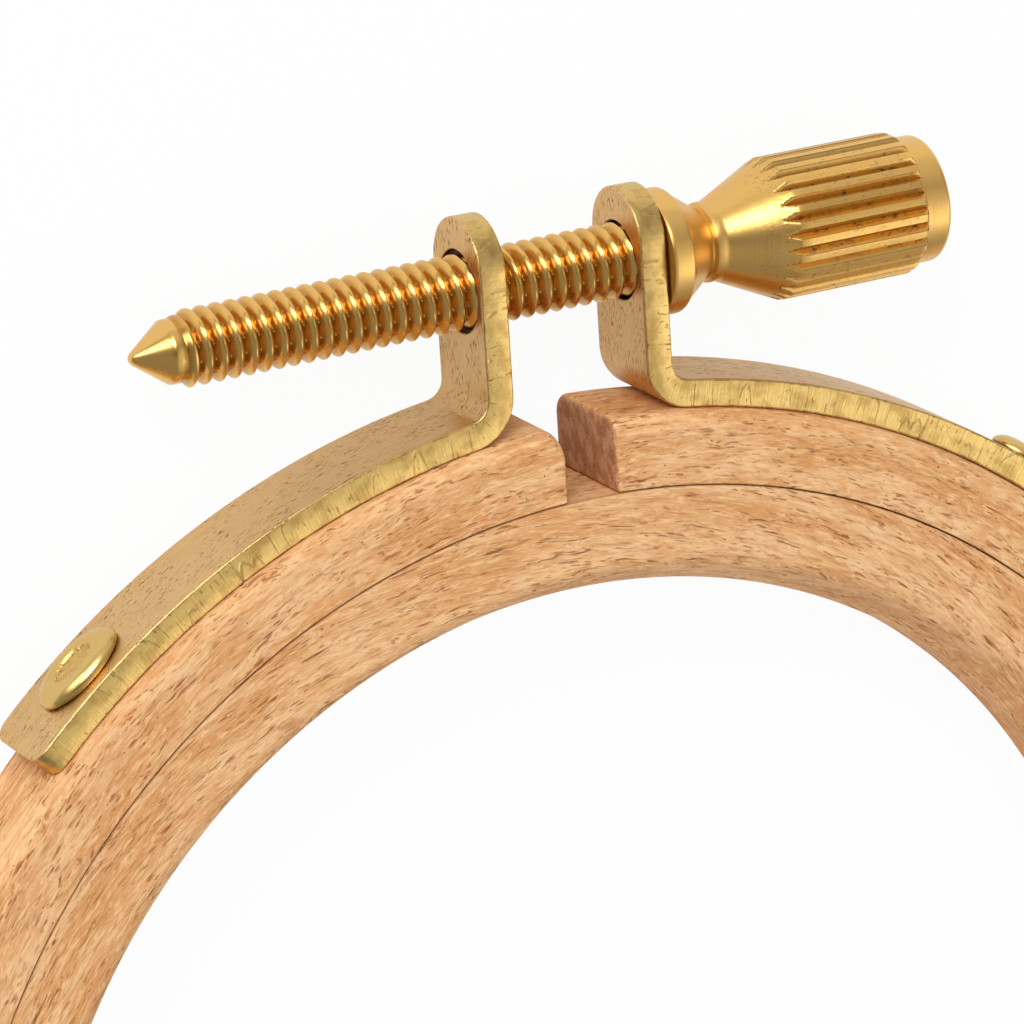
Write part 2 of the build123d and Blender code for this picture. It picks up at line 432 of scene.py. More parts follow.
def blank_rows(inset):
    """The blank's rows as (along, half width), with its whole outline drawn in by the inset."""
    radius = STRAP_CORNER - inset
    rows = [(STRAP_CORNER - radius * run, STRIP_HALF_WIDTH - STRAP_CORNER + radius * rise)
            for rise, run in quarter(8)]
    round_start = BLANK_LENGTH - STRIP_HALF_WIDTH
    stations = list(np.linspace(STRAP_CORNER + 0.4, STRAP_LENGTH, 44))
    stations += list(np.linspace(STRAP_LENGTH, EAR_START, 15)[1:])
    stations += list(np.linspace(EAR_START, round_start, 12)[1:-1])
    rows += [(station, STRIP_HALF_WIDTH - inset) for station in stations]
    radius = STRIP_HALF_WIDTH - inset
    for step in range(23):
        angle = radians(88) * step / 22
        rows.append((round_start + radius * sin(angle), radius * cos(angle)))
    return rows


def bracket_layers():
    """How far the outline is drawn in at each depth: a quarter round at both faces."""
    layers = [(EDGE_SOFTNESS * (1 - rise), EDGE_SOFTNESS * (1 - run)) for rise, run in quarter(4)]
    return layers + [(inset, STRIP - depth) for inset, depth in reversed(layers)]


# %% Skin the blank and bend it
def bent_points(side):
    """The blank's points, layer by layer, bent. The left bracket is the right one in a mirror."""
    points = []
    for inset, depth in bracket_layers():
        for along, half_width in blank_rows(inset):
            x, y = bend(along, depth)
            points.extend((side * x, y, share * half_width) for share in ACROSS)
    return points


def rim_points(rows, across):
    """The numbers of the points round the edge of one layer, in order."""
    rim = list(range(across))
    rim += [row * across + across - 1 for row in range(1, rows)]
    rim += [(rows - 1) * across + column for column in reversed(range(across - 1))]
    return rim + [row * across for row in reversed(range(1, rows - 1))]


def bracket_faces(side):
    """A grid on the wood's side, a grid outside, and a band round the rim between each two layers."""
    rows, across, layers = len(blank_rows(0)), len(ACROSS), len(bracket_layers())
    layer_size = rows * across
    wood_face = skin(0, rows, across, wrap_points=False)
    outer_face = skin((layers - 1) * layer_size, rows, across, wrap_points=False)
    faces = [tuple(reversed(face)) for face in wood_face] + outer_face
    rim = rim_points(rows, across)
    for layer in range(layers - 1):
        low = layer * layer_size
        high = low + layer_size
        for point, beside in zip(rim, rim[1:] + rim[:1]):
            faces.append((low + point, low + beside, high + beside, high + point))
    return [tuple(reversed(face)) for face in faces] if side > 0 else faces


def without_loose(points, faces):
    """The points and faces without the points that no face uses."""
    used = sorted(set(point for face in faces for point in face))
    number = {point: index for index, point in enumerate(used)}
    return [points[point] for point in used], [tuple(number[point] for point in face) for face in faces]


# %% Make and drill the brackets
THREAD_RADIUS = 2.4
RIGHT_EAR_PLAY = 0.12
LEFT_EAR_PLAY = 0.25
HOLE_MOUTH = 0.07
EAR_STEPS = 72
CLEAR = 1
# The strap's hole, as heights above the seam. It stops a hair above the wood, out of sight.
STRAP_HOLE_START = 5
STRAP_HOLE_END = 8
STRAP_SHARP = 30


def drill_ear(bracket, side, radius):
    """A hole with a small cone at each mouth. The cutter reaches a little past the ear on both sides."""
    mouth = radius + HOLE_MOUTH
    far = CLEAR + STRIP
    hole = [(0, 0), (0, mouth), (CLEAR, mouth), (CLEAR + HOLE_MOUTH, radius), (far - HOLE_MOUTH, radius),
            (far, mouth), (far + CLEAR, mouth), (far + CLEAR, 0)]
    place = axis_place((side * (EAR_INNER_X - CLEAR), SCREW_Y, 0), (side, 0, 0))
    drill(bracket, turned("ear_drill", hole, EAR_STEPS, place), STRAP_SHARP)


def make_bracket(name, side, hole_radius):
    bracket = make_piece(name, *without_loose(bent_points(side), bracket_faces(side)), STRAP_SHARP)
    drill_ear(bracket, side, hole_radius)
    hole = [(STRAP_HOLE_START, 0), (STRAP_HOLE_START, RIVET_HOLE), (STRAP_HOLE_END, RIVET_HOLE),
            (STRAP_HOLE_END, 0)]
    drill(bracket, turned("strap_drill", hole, DRILL_STEPS, rivet_axis(side)), STRAP_SHARP)
    return bracket


right_bracket = make_bracket("right_bracket_brass", 1, THREAD_RADIUS + RIGHT_EAR_PLAY)
left_bracket = make_bracket("left_bracket_brass", -1, THREAD_RADIUS + LEFT_EAR_PLAY)
compare_box(right_bracket, "right_bracket")
compare_box(left_bracket, "left_bracket")

# %% [markdown]
# Marks on the strip follow its length, so each point also remembers its place on the flat blank: along,
# across and deep. Drilling has added points, so the places are worked back from where the points are now.

# %% Unbend the points for the finish
def blank_place(x, y, z):
    """Where on the flat blank this point of a bent bracket was."""
    x = abs(x)
    if y > BEND_Y and x < EAR_OUTER_X + 0.5:
        return (EAR_START + y - BEND_Y, z, x - EAR_INNER_X)
    angle = atan2(y, x)
    if angle < BEND_ANGLE:
        return ((angle - STRAP_END) * STRAP_MIDDLE, z, sqrt(x * x + y * y) - STRAP_INSIDE)
    radius = sqrt((x - BEND_X) ** 2 + (y - BEND_Y) ** 2)
    turn = BEND_ANGLE + pi - atan2(y - BEND_Y, x - BEND_X) % (2 * pi)
    return (STRAP_LENGTH + turn * BEND_MIDDLE, z, WIDE_BEND - radius)


for bracket in (right_bracket, left_bracket):
    places = remember_rest(bracket)
    flat = np.array([blank_place(*place) for place in places], np.float32)
    remember_places(bracket, "blank", flat)
    print(bracket.name, "blank from", flat.min(0).round(2), "to", flat.max(0).round(2))

# %% [markdown]
# ## The rivets
# A rivet is a short pin with a low head and a tail that was spread with a hammer. The head has a rolled
# rim round a long rough hollow. It is turned about its own axis, from the tail up, and then the head
# alone is drawn in across the strap, because the photograph shows it as an oval, a little nearer the
# front edge.

# %% The rivet's sizes and outline
SHANK = 1.5
TAIL = 2.3
SEAT_GAP = 0.02
HEAD_SEAT = STRAP_INSIDE + SEAT_GAP - SEAM_RADIUS + STRIP
HEAD = 3.2
OVAL = 0.68
FORWARD = 0.2
HEAD_HEIGHT = 0.88
HEAD_WALL = 0.3
CREST = 1.95
HOLLOW_FLOOR = 1.35
HOLLOW = 0.28


def level_arc(height, inner, outer, drop, steps):
    """(height, radius) points of an arc that starts level at the inner radius and drops outwards."""
    across = outer - inner
    radius = (across ** 2 + drop ** 2) / (2 * drop)
    points = []
    for step in range(steps + 1):
        reach = across * step / steps
        points.append((height - radius + sqrt(radius ** 2 - reach ** 2), inner + reach))
    return points


def rivet_outline():
    """(height, radius) from the spread tail, up the head's wall and dome, and into the hollow."""
    crown = HEAD_SEAT + HEAD_HEIGHT
    tail = [(SINK_STRAIGHT, 0), (SINK_STRAIGHT, TAIL - 0.2), (SINK_STRAIGHT + 0.1, TAIL),
            (SINK_STRAIGHT + SINK_CONE - 0.05, SHANK)]
    wall = [(HEAD_SEAT, SHANK), (HEAD_SEAT, HEAD - 0.1), (HEAD_SEAT + 0.04, HEAD - 0.02),
            (HEAD_SEAT + 0.1, HEAD), (HEAD_SEAT + HEAD_WALL - 0.1, HEAD),
            (HEAD_SEAT + HEAD_WALL - 0.03, HEAD - 0.02)]
    dome = list(reversed(level_arc(crown, CREST, HEAD, HEAD_HEIGHT - HEAD_WALL, 14)))[1:]
    rim = [(height, -radius) for height, radius in level_arc(crown, -CREST, -HOLLOW_FLOOR, HOLLOW, 6)][1:]
    floor = crown - HOLLOW
    return tail + wall + dome + rim + [(floor - 0.01, 0.9), (floor - 0.02, 0.45), (floor - 0.02, 0)]


# %% Make the rivets
RIVET_SHARP = 35
RIVET_STEPS = 96


def make_rivet(name, side):
    rivet = turned(name, rivet_outline(), RIVET_STEPS, rivet_axis(side), RIVET_SHARP)
    places = remember_rest(rivet)
    local = np.array([rivet_axis(side).inverted() @ Vector(place) for place in places], np.float32)
    remember_places(rivet, "turned", local)
    head = local[:, 2] > HEAD_SEAT - 0.001
    places[head, 2] = places[head, 2] * OVAL + FORWARD
    rivet.data.vertices.foreach_set("co", (places * MM).ravel())
    finish_normals(rivet, RIVET_SHARP)
    return rivet


right_rivet = make_rivet("right_rivet_brass", 1)
left_rivet = make_rivet("left_rivet_brass", -1)
compare_box(right_rivet, "right_rivet")
compare_box(left_rivet, "left_rivet")

# %% [markdown]
# ## The clamp screw and its knob
# The screw is turned from one bar: a tapered tip, a rolled thread, a collar that bears on the right ear,
# a waist, and a flared knob with straight knurling. One mesh carries it all. The thread is a wave of the
# radius that moves along by one pitch in each turn. Every knurl groove is a V that the knob's own outline
# is cut down to, which gives the pointed starts on the flare. The thread has play in both ears, so the
# screw leans by half a degree, as it does in the photograph.

# %% Outline of the screw along its axis
PITCH = 1.0
THREAD_DEPTH = 0.54
TIP_X = -28.65
CONE_END = -26.25
NECK_END = -25.55
COLLAR_X = 6.6
COLLAR_END = 8.1
GROOVE_START = 10.1
GROOVE_END = 10.45
FLARE_START = 11.15
KNURL_START = 15.45
KNURL_END = 24.65
KNOB_END = 26.45
CORE = 2.0
COLLAR_RADIUS = 4.0
BACK_RADIUS = 3.8
GROOVE_RADIUS = 2.35
WAIST_RADIUS = 2.55
END_RADIUS = 4.05
KNURLS = 26
KNURL_CREST = 4.55
KNURL_DEPTH = 0.46
KNURL_LAND = 0.4
KNURL_ROUND = 0.45
KNURL_DROP = 0.5
END_ROUND = 0.35
LEAN = 0.008
SCREW_SHARP = 38
THREAD_POINTS = 5 * KNURLS
KNOB_POINTS = 10 * KNURLS


def thread_radius(x, turn):
    """Rounded crests and narrow valleys, fading in beyond the neck."""
    phase = (x / PITCH - turn) % 1
    crest = (1 - abs(2 * phase - 1) ** 1.4) ** 0.95
    fade = min(max((x - NECK_END + 0.15) / 0.7, 0), 1)
    core = CORE + (THREAD_RADIUS - THREAD_DEPTH - CORE) * fade
    return core + THREAD_DEPTH * crest * fade


def slope(first, last, steps):
    """(x, radius) pairs in even steps down or up a cone, without the first."""
    (x, radius), (last_x, last_radius) = first, last
    return [(x + step / steps * (last_x - x), radius + step / steps * (last_radius - radius))
            for step in range(1, steps + 1)]


def collar_outline():
    """The collar and the cone behind it."""
    outline = [(COLLAR_X, BACK_RADIUS), (COLLAR_X + 0.06, 3.94), (COLLAR_X + 0.2, COLLAR_RADIUS),
               (COLLAR_X + 0.3, COLLAR_RADIUS), (COLLAR_END - 0.3, COLLAR_RADIUS),
               (COLLAR_END - 0.16, 3.99), (COLLAR_END - 0.05, 3.93), (COLLAR_END + 0.05, BACK_RADIUS)]
    return outline + slope((COLLAR_END, BACK_RADIUS), (GROOVE_START, GROOVE_RADIUS), 8)


def waist_outline():
    """The narrow groove, the ring behind it, and the flare up to the knurl's crest."""
    outline = [(GROOVE_START + 0.15, 2.27), (GROOVE_END - 0.1, 2.27), (GROOVE_END - 0.02, 2.4),
               (GROOVE_END + 0.02, 2.5), (GROOVE_END + 0.1, WAIST_RADIUS),
               (FLARE_START - 0.08, WAIST_RADIUS), (FLARE_START, 2.56)]
    return outline + slope((FLARE_START, WAIST_RADIUS), (KNURL_START, KNURL_CREST), 30)


def grip_outline():
    """The knurled barrel with its round end, and the plain disc behind it."""
    round_start = KNURL_END - KNURL_ROUND
    outline = [(x, KNURL_CREST) for x in np.linspace(KNURL_START, round_start, 14)[1:]]
    outline += [(round_start + KNURL_ROUND * rise, KNURL_CREST - KNURL_DROP * (1 - run))
                for rise, run in quarter(8, 1)]
    outline += [(KNURL_END + 0.03, END_RADIUS), (KNURL_END + 0.2, END_RADIUS),
                (KNOB_END - 0.42, END_RADIUS)]
    outline += [(KNOB_END - END_ROUND + END_ROUND * rise, END_RADIUS - END_ROUND + END_ROUND * run)
                for rise, run in quarter(6)]
    return outline + [(KNOB_END, 3.6), (KNOB_END, 2.4), (KNOB_END, 1.2)]


def knurl_limit(point):
    """The radius that the V grooves leave at this point of a turn."""
    share = abs((point / (KNOB_POINTS / KNURLS)) % 1 - 0.5) * 2
    return KNURL_CREST - KNURL_DEPTH * max(share - KNURL_LAND, 0) / (1 - KNURL_LAND)


# %% Rows of the clamp screw
def tip_outline():
    """The tip's cone and the plain neck behind it."""
    outline = [(TIP_X + 0.02, 0.2), (TIP_X + 0.1, 0.3)]
    for share in np.linspace(0.06, 0.97, 10):
        outline.append((TIP_X + 2.4 * share, 0.26 + 1.75 * share))
    return outline + [(CONE_END - 0.02, 1.97), (CONE_END + 0.05, CORE), (CONE_END + 0.3, CORE)]


def thin_rows():
    """Rows of the tip and the thread: x, the radii of one turn, and how deep each lies, 1 at the root."""
    rows = [(x, [radius] * THREAD_POINTS, [0.0] * THREAD_POINTS) for x, radius in tip_outline()]
    for x in list(np.arange(NECK_END - 0.2, COLLAR_X - 0.02, PITCH / 12)) + [COLLAR_X]:
        radii = [thread_radius(x, index / THREAD_POINTS) for index in range(THREAD_POINTS)]
        rows.append((x, radii, [(THREAD_RADIUS - radius) / THREAD_DEPTH for radius in radii]))
    return rows


def knob_rows():
    """The same for the knob, where 1 is the bottom of a knurl groove."""
    rows = []
    for x, radius in collar_outline() + waist_outline() + grip_outline():
        grooved = FLARE_START < x < KNURL_END + 0.01
        limits = [knurl_limit(index) if grooved else radius for index in range(KNOB_POINTS)]
        radii = [min(radius, limit) for limit in limits]
        rows.append((x, radii, [(radius - kept) / KNURL_DEPTH for kept in radii]))
    return rows


# %% Make the clamp screw
def row_points(x, radii):
    angles = [2 * pi * index / len(radii) for index in range(len(radii))]
    return [(x, SCREW_Y + radius * cos(angle), radius * sin(angle))
            for radius, angle in zip(radii, angles)]


def screw_faces(thin_count, knob_count):
    """The knob's rows have twice the thread's points, so a band of five-sided faces joins the two."""
    faces = [(0, 1 + (index + 1) % THREAD_POINTS, 1 + index) for index in range(THREAD_POINTS)]
    faces += skin(1, thin_count, THREAD_POINTS)
    last_thin = 1 + (thin_count - 1) * THREAD_POINTS
    first_knob = last_thin + THREAD_POINTS
    for index in range(THREAD_POINTS):
        beside = (index + 1) % THREAD_POINTS
        fine = first_knob + 2 * index
        faces.append((last_thin + index, last_thin + beside,
                      first_knob + (2 * index + 2) % KNOB_POINTS, fine + 1, fine))
    faces += skin(first_knob, knob_count, KNOB_POINTS)
    last_ring = first_knob + (knob_count - 1) * KNOB_POINTS
    pole = last_ring + KNOB_POINTS
    for index in range(KNOB_POINTS):
        faces.append((pole, last_ring + index, last_ring + (index + 1) % KNOB_POINTS))
    return faces


def make_screw():
    thin, knob = thin_rows(), knob_rows()
    points = [(TIP_X, SCREW_Y, 0)]
    depths = [0.0]
    for x, radii, deep in thin + knob:
        points += row_points(x, radii)
        depths += deep
    points.append((KNOB_END, SCREW_Y, 0))
    depths.append(0.0)
    screw = make_piece("clamp_screw_brass", points, screw_faces(len(thin), len(knob)), SCREW_SHARP)
    places = remember_rest(screw)
    out = np.hypot(places[:, 1] - SCREW_Y, places[:, 2])
    remember_places(screw, "turned", np.column_stack((places[:, 0], out, depths)))
    places[:, 1] += LEAN * places[:, 0]
    screw.data.vertices.foreach_set("co", (places * MM).ravel())
    screw.data.update()
    print("screw rows:", len(thin), "thin and", len(knob), "on the knob")
    return screw


clamp_screw = make_screw()
compare_box(clamp_screw, "clamp_screw")

# %% [markdown]
# ## Shader maths as Python
# A finish is a sum of masks and marks. Written out as nodes it is hard to read, so one small class wraps
# a socket: numbers and wires can be added and multiplied, and each sign adds its Math node. Any other
# node comes from one method, which takes the node's type, its settings and the values of its sockets.

# %% The wire class
class Wire:
    """A value, colour or vector on its way through a material's nodes."""

    def __init__(self, tree, socket=None):
        self.tree = tree
        self.socket = socket

    def node(self, kind, settings, values, out=0):
        """A new node of this kind, as the wire that leaves it. Its settings come before its sockets."""
        made = self.tree.nodes.new(kind)
        for name, value in settings.items():
            setattr(made, name, value)
        for name, value in values.items():
            if isinstance(value, Wire):
                self.tree.links.new(value.socket, made.inputs[name])
            else:
                made.inputs[name].default_value = value
        return Wire(self.tree, made.outputs[out])

    def math(self, operation, *values):
        return self.node("ShaderNodeMath", {"operation": operation}, dict(enumerate(values)))

    def __add__(self, other):
        return self.math("ADD", self, other)

    def __radd__(self, other):
        return self.math("ADD", other, self)

    def __sub__(self, other):
        return self.math("SUBTRACT", self, other)

    def __rsub__(self, other):
        return self.math("SUBTRACT", other, self)

    def __mul__(self, other):
        return self.math("MULTIPLY", self, other)

    def __rmul__(self, other):
        return self.math("MULTIPLY", other, self)

    def __truediv__(self, other):
        return self.math("DIVIDE", self, other)

    def __abs__(self):
        return self.math("ABSOLUTE", self)

    def rise(self, low, high):
        """0 below low, 1 above high, and smooth between. With low above high it falls."""
        return self.node("ShaderNodeMapRange", {"interpolation_type": "SMOOTHSTEP"},
                         {"Value": self, "From Min": low, "From Max": high})

    def parts(self):
        """The three numbers of a vector."""
        split = self.node("ShaderNodeSeparateXYZ", {}, {"Vector": self})
        return [Wire(self.tree, split.socket.node.outputs[axis]) for axis in range(3)]

    def noise(self, detail=2.0, roughness=0.5):
        """Soft noise from 0 to 1, with this wire as the place, about one lump to each unit."""
        return self.node("ShaderNodeTexNoise", {},
                         {"Vector": self, "Scale": 1.0, "Detail": detail, "Roughness": roughness})

    def blend(self, first, second, mask):
        """The first colour where the mask is 0, the second where it is 1. Both may be wires."""
        return self.node("ShaderNodeMix", {"data_type": "RGBA"}, {0: mask, 6: first, 7: second}, 2)

    def layers(self, *coats):
        """This colour under coats of others, each one a colour and the mask where it shows."""
        colour = self
        for other, mask in coats:
            colour = self.blend(colour, other, mask)
        return colour

    def vector(self, x, y, z):
        return self.node("ShaderNodeCombineXYZ", {}, {0: x, 1: y, 2: z})

    def read(self, attribute):
        """What a piece's points remember under this name."""
        return self.node("ShaderNodeAttribute", {"attribute_name": attribute}, {}, "Vector")


def linear(red, green, blue):
    """A colour as it is seen, 0 to 255, made ready for a shader's socket."""
    seen = np.array((red, green, blue)) / 255
    mixed = np.where(seen <= 0.04045, seen / 12.92, ((seen + 0.055) / 1.055) ** 2.4)
    return (*[float(part) for part in mixed], 1.0)


def new_finish(name, socket, value):
    """A material with this one number the same all over, and a wire to start from."""
    finish = bpy.data.materials.new(name)
    finish.use_nodes = True
    finish.node_tree.nodes["Principled BSDF"].inputs[socket].default_value = value
    return finish, Wire(finish.node_tree)


def apply_finish(start, colour, roughness, height, depth):
    """Plugs in what varies over the surface. The height, from 0 to 1, is a bump of this depth in mm."""
    bump = start.node("ShaderNodeBump", {}, {"Strength": 1.0, "Distance": depth * MM, "Height": height})
    shader = start.tree.nodes["Principled BSDF"]
    for socket, wire in (("Base Color", colour), ("Roughness", roughness), ("Normal", bump)):
        start.tree.links.new(wire.socket, shader.inputs[socket])


print("seen grey 128 is", round(linear(128, 128, 128)[0], 3), "to a shader")

# %% [markdown]
# ## Beech
# Beech is pale, pinkish tan, and full of short brown dashes: the rays of the wood, cut across. They lie
# along the grain, and the grain follows the ring. So the finish first works out where a point is along,
# out and up in the ring, then stretches its noises far along the grain and little across it. The sawn
# ends are darker, because open pores take up dirt. The closed inner ring has a fine glued joint, opposite
# the split.

# %% The beech finish
PALE_BEECH = linear(248, 204, 151)
TAN_BEECH = linear(216, 154, 95)
RAY_BROWN = linear(162, 98, 50)
GLOW_ORANGE = linear(226, 150, 88)
# Dark pores and specks, and also the painted shade along the seam between the rings.
DARK_PORE_AND_SHADE = linear(84, 46, 24)
END_BEECH = linear(202, 148, 112)
GLUE_LINE = linear(120, 78, 48)


def grain_angle(start, x, y, out, split):
    """The angle round the ring. It jumps where the wood does: at the split, or at the glued joint."""
    if split:
        return start.math("ARCTAN2", x, 0.0 - y)
    return start.math("WRAP", start.math("ARCTAN2", x, y) + (out - 43.0) * 0.07, pi, -pi)


def sawn_end(start, place, colour, height):
    """Darker, rougher wood within a fraction of a millimetre of the two sawn ends."""
    x, y, z, out = place
    sawn = abs(x).rise(HALF_GAP + 0.22, HALF_GAP + 0.02) * y.rise(20.0, 21.0)
    rough_end = start.vector(x / 0.25, out / 0.2 + z / 0.6, z / 0.2).noise(3.0, 0.6)
    end_patch = start.vector(out / 1.1 + z / 1.6, z / 0.8, 0.0).noise(2.0)
    colour = colour.layers(
        (END_BEECH, sawn * 0.8),
        (RAY_BROWN, sawn * end_patch.rise(0.42, 0.58) * 0.65),
        (RAY_BROWN, sawn * rough_end.rise(0.5, 0.7) * 0.45))
    return colour, height + sawn * rough_end


def beech(name, split, seed):
    finish, start = new_finish(name, "Specular IOR Level", 0.3)
    x, y, z = start.read("rest").parts()
    out = start.math("SQRT", x * x + y * y)
    angle = grain_angle(start, x, y, out, split)
    along = angle * SEAM_RADIUS + seed
    sway = (start.vector(along / 2.4, out / 1.3, z / 1.3).noise(2.0) - 0.5) * 0.9
    radial = out + sway
    level = z + sway

    def grain(length, width, detail, roughness=0.5):
        """Noise whose lumps have this length along the grain and this width across it, in mm."""
        return start.vector(along / length, radial / width, level / width).noise(detail, roughness)

    # Light and dark wood, from broad bands down to single fibres.
    broad = grain(10.0, 2.2, 3.0)
    patch = grain(2.2, 0.8, 2.0)
    streak = grain(1.7, 0.24, 3.0, 0.6)
    fibre = grain(0.7, 0.09, 2.0, 0.6)
    # Rays, which come in groups, with a warm halo round the long ones.
    gate = start.vector(along / 3.0, radial / 1.0, level / 1.0 + 9.0).noise(1.0)
    group = gate.rise(0.42, 0.62)
    short_noise = grain(0.75, 0.17, 1.0)
    long_noise = start.vector(along / 1.5 + 37.0, radial / 0.22, level / 0.22).noise(1.0)
    wave = start.vector(along / 1.9, radial / 0.6, level / 0.6 + 20.0).noise(1.0)
    short = short_noise.rise(0.61, 0.72) * gate.rise(0.38, 0.6)
    long = long_noise.rise(0.61, 0.71) * group
    halo = long_noise.rise(0.5, 0.64) * group
    ripple = abs(wave - 0.5).rise(0.05, 0.01) * gate.rise(0.55, 0.35)
    specks = grain(0.3, 0.25, 0.0).rise(0.85, 0.88)
    # Painted shade: a dark line along the seam's upper edge, where the two rings meet.
    seam_shade = abs(out - SEAM_RADIUS).rise(0.11, 0.06) * z.rise(3.65, 3.9)
    colour = start.blend(TAN_BEECH, PALE_BEECH, broad.rise(0.35, 0.65) * 0.75).layers(
        (TAN_BEECH, patch.rise(0.55, 0.35) * 0.6),
        (GLOW_ORANGE, patch.rise(0.58, 0.7) * 0.35 + halo * 0.6),
        (PALE_BEECH, streak.rise(0.5, 0.65) * 0.7),
        (RAY_BROWN, streak.rise(0.46, 0.3) * 0.5),
        (PALE_BEECH, fibre.rise(0.5, 0.68) * 0.35),
        (RAY_BROWN, fibre.rise(0.45, 0.28) * 0.22),
        (GLOW_ORANGE, ripple * 0.5),
        (RAY_BROWN, short * 0.7 + long * 0.2),
        (RAY_BROWN, long * 0.7),
        (DARK_PORE_AND_SHADE, long_noise.rise(0.7, 0.8) * group * 0.35 + specks * 0.7),
        (DARK_PORE_AND_SHADE, seam_shade * 0.35))
    height = 0.35 * fibre + 0.9 * streak + 0.4 * patch - 0.5 * short - 0.7 * long
    height = height - 0.15 * ripple - specks
    if split:
        colour, height = sawn_end(start, (x, y, z, out), colour, height)
    else:
        edge = (pi - abs(angle)) * SEAM_RADIUS
        colour = colour.layers((GLUE_LINE, edge.rise(0.14, 0.03) * 0.7))
    roughness = 0.58 + 0.14 * fibre + 0.1 * short
    apply_finish(start, colour, roughness, height, 0.08)
    return finish


outer_wood = beech("outer_wood", True, 0.0)
inner_wood = beech("inner_wood", False, 420.0)

# %% [markdown]
# ## Brass
# Brass is a metal, so its colour is the colour of what it mirrors, tinted gold. Its valleys are painted
# amber, as painted reflection of the brass in itself and painted shade, and dirt deepens the knurl's
# grooves. What makes each brass part look real is how it was worked: the strip's cut edges are bright,
# with fine lines across them, its faces are dull and pitted, and the screw is bright and turned.

# %% The strip's finish
STRIP_GOLD = linear(220, 185, 112)
STRIP_FACE = linear(226, 185, 125)
TARNISH = linear(182, 144, 80)
# Brown for pits, nicks, cracks and dirt, and also for painted shade in the ear holes, at the knurl
# grooves and at the rivets' feet.
PIT_AND_SHADE_BROWN = linear(96, 62, 30)
BRIGHT_GOLD = linear(236, 188, 104)
# Painted amber for the valleys: painted reflection of the brass in itself, and painted shade.
VALLEY_REFLECTION_AMBER = linear(188, 130, 56)
HOLE_ALONG = EAR_START + SCREW_Y - BEND_Y


def strip_brass():
    finish, start = new_finish("bracket_brass", "Metallic", 1.0)
    along, across, deep = start.read("blank").parts()
    # Cut is 1 on the strip's edges and 0 on its two faces.
    cut = deep.rise(0.02, 0.12) * deep.rise(STRIP - 0.02, STRIP - 0.12)
    face = 1 - cut
    cloud = start.vector(along / 1.6, across / 1.6, deep / 1.1).noise(3.0)
    mottle = start.vector(along / 0.5, across / 0.5, deep / 0.5).noise(3.0, 0.6)
    shear = start.vector(along / 0.16, across / 2.5, deep / 2.5 + along / 3.0).noise(2.0, 0.6)
    nicks = start.vector(along / 0.14, across, deep / 0.7 + along / 1.7).noise(1.0)
    scratch = start.vector(along / 1.4, across / 0.07, deep / 0.07).noise(2.0, 0.6)
    pit_noise = start.vector(along / 0.45, across / 0.1, deep / 0.5).noise(1.0)
    gate = start.vector(along / 3.0, across / 1.6, deep).noise(2.0)
    # Pits on the faces, and on the edges nicks and a few thin cracks, all in patches.
    pits = pit_noise.rise(0.58, 0.68) * gate.rise(0.38, 0.54) * face
    marks = nicks.rise(0.66, 0.76) * gate.rise(0.44, 0.56) * cut
    tear = start.vector(along / 1.1, across, deep / 5.0 + along / 5.0).noise(0.0)
    cracks = abs(tear - 0.5).rise(0.022, 0.006) * gate.rise(0.42, 0.55) * cut
    border = abs(deep - STRIP / 2).rise(STRIP / 2 - 0.2, STRIP / 2 - 0.08) * cut
    hole = start.math("SQRT", (along - HOLE_ALONG) * (along - HOLE_ALONG) + across * across)
    colour = start.blend(STRIP_FACE, STRIP_GOLD, cut).layers(
        (TARNISH, cut * cloud.rise(0.42, 0.66) * 0.7),
        (TARNISH, face * scratch.rise(0.52, 0.68) * 0.5),
        (PIT_AND_SHADE_BROWN, border * mottle.rise(0.5, 0.62) * 0.6),
        (PIT_AND_SHADE_BROWN, pits * 0.7 + marks * 0.4 + cracks * 0.22),
        # Painted shade: the wall of the ear's hole is darkened all round.
        (PIT_AND_SHADE_BROWN, hole.rise(THREAD_RADIUS + 0.3, THREAD_RADIUS + 0.25) * cut * 0.9))
    roughness = 0.3 + 0.12 * cloud + 0.15 * pits - 0.04 * cut
    height = (0.5 * shear - 0.7 * marks) * cut - 0.6 * cracks + 0.4 * cloud + 0.5 * mottle
    height = height + 0.4 * scratch * face - 0.9 * pits
    apply_finish(start, colour, roughness, height, 0.03)
    return finish


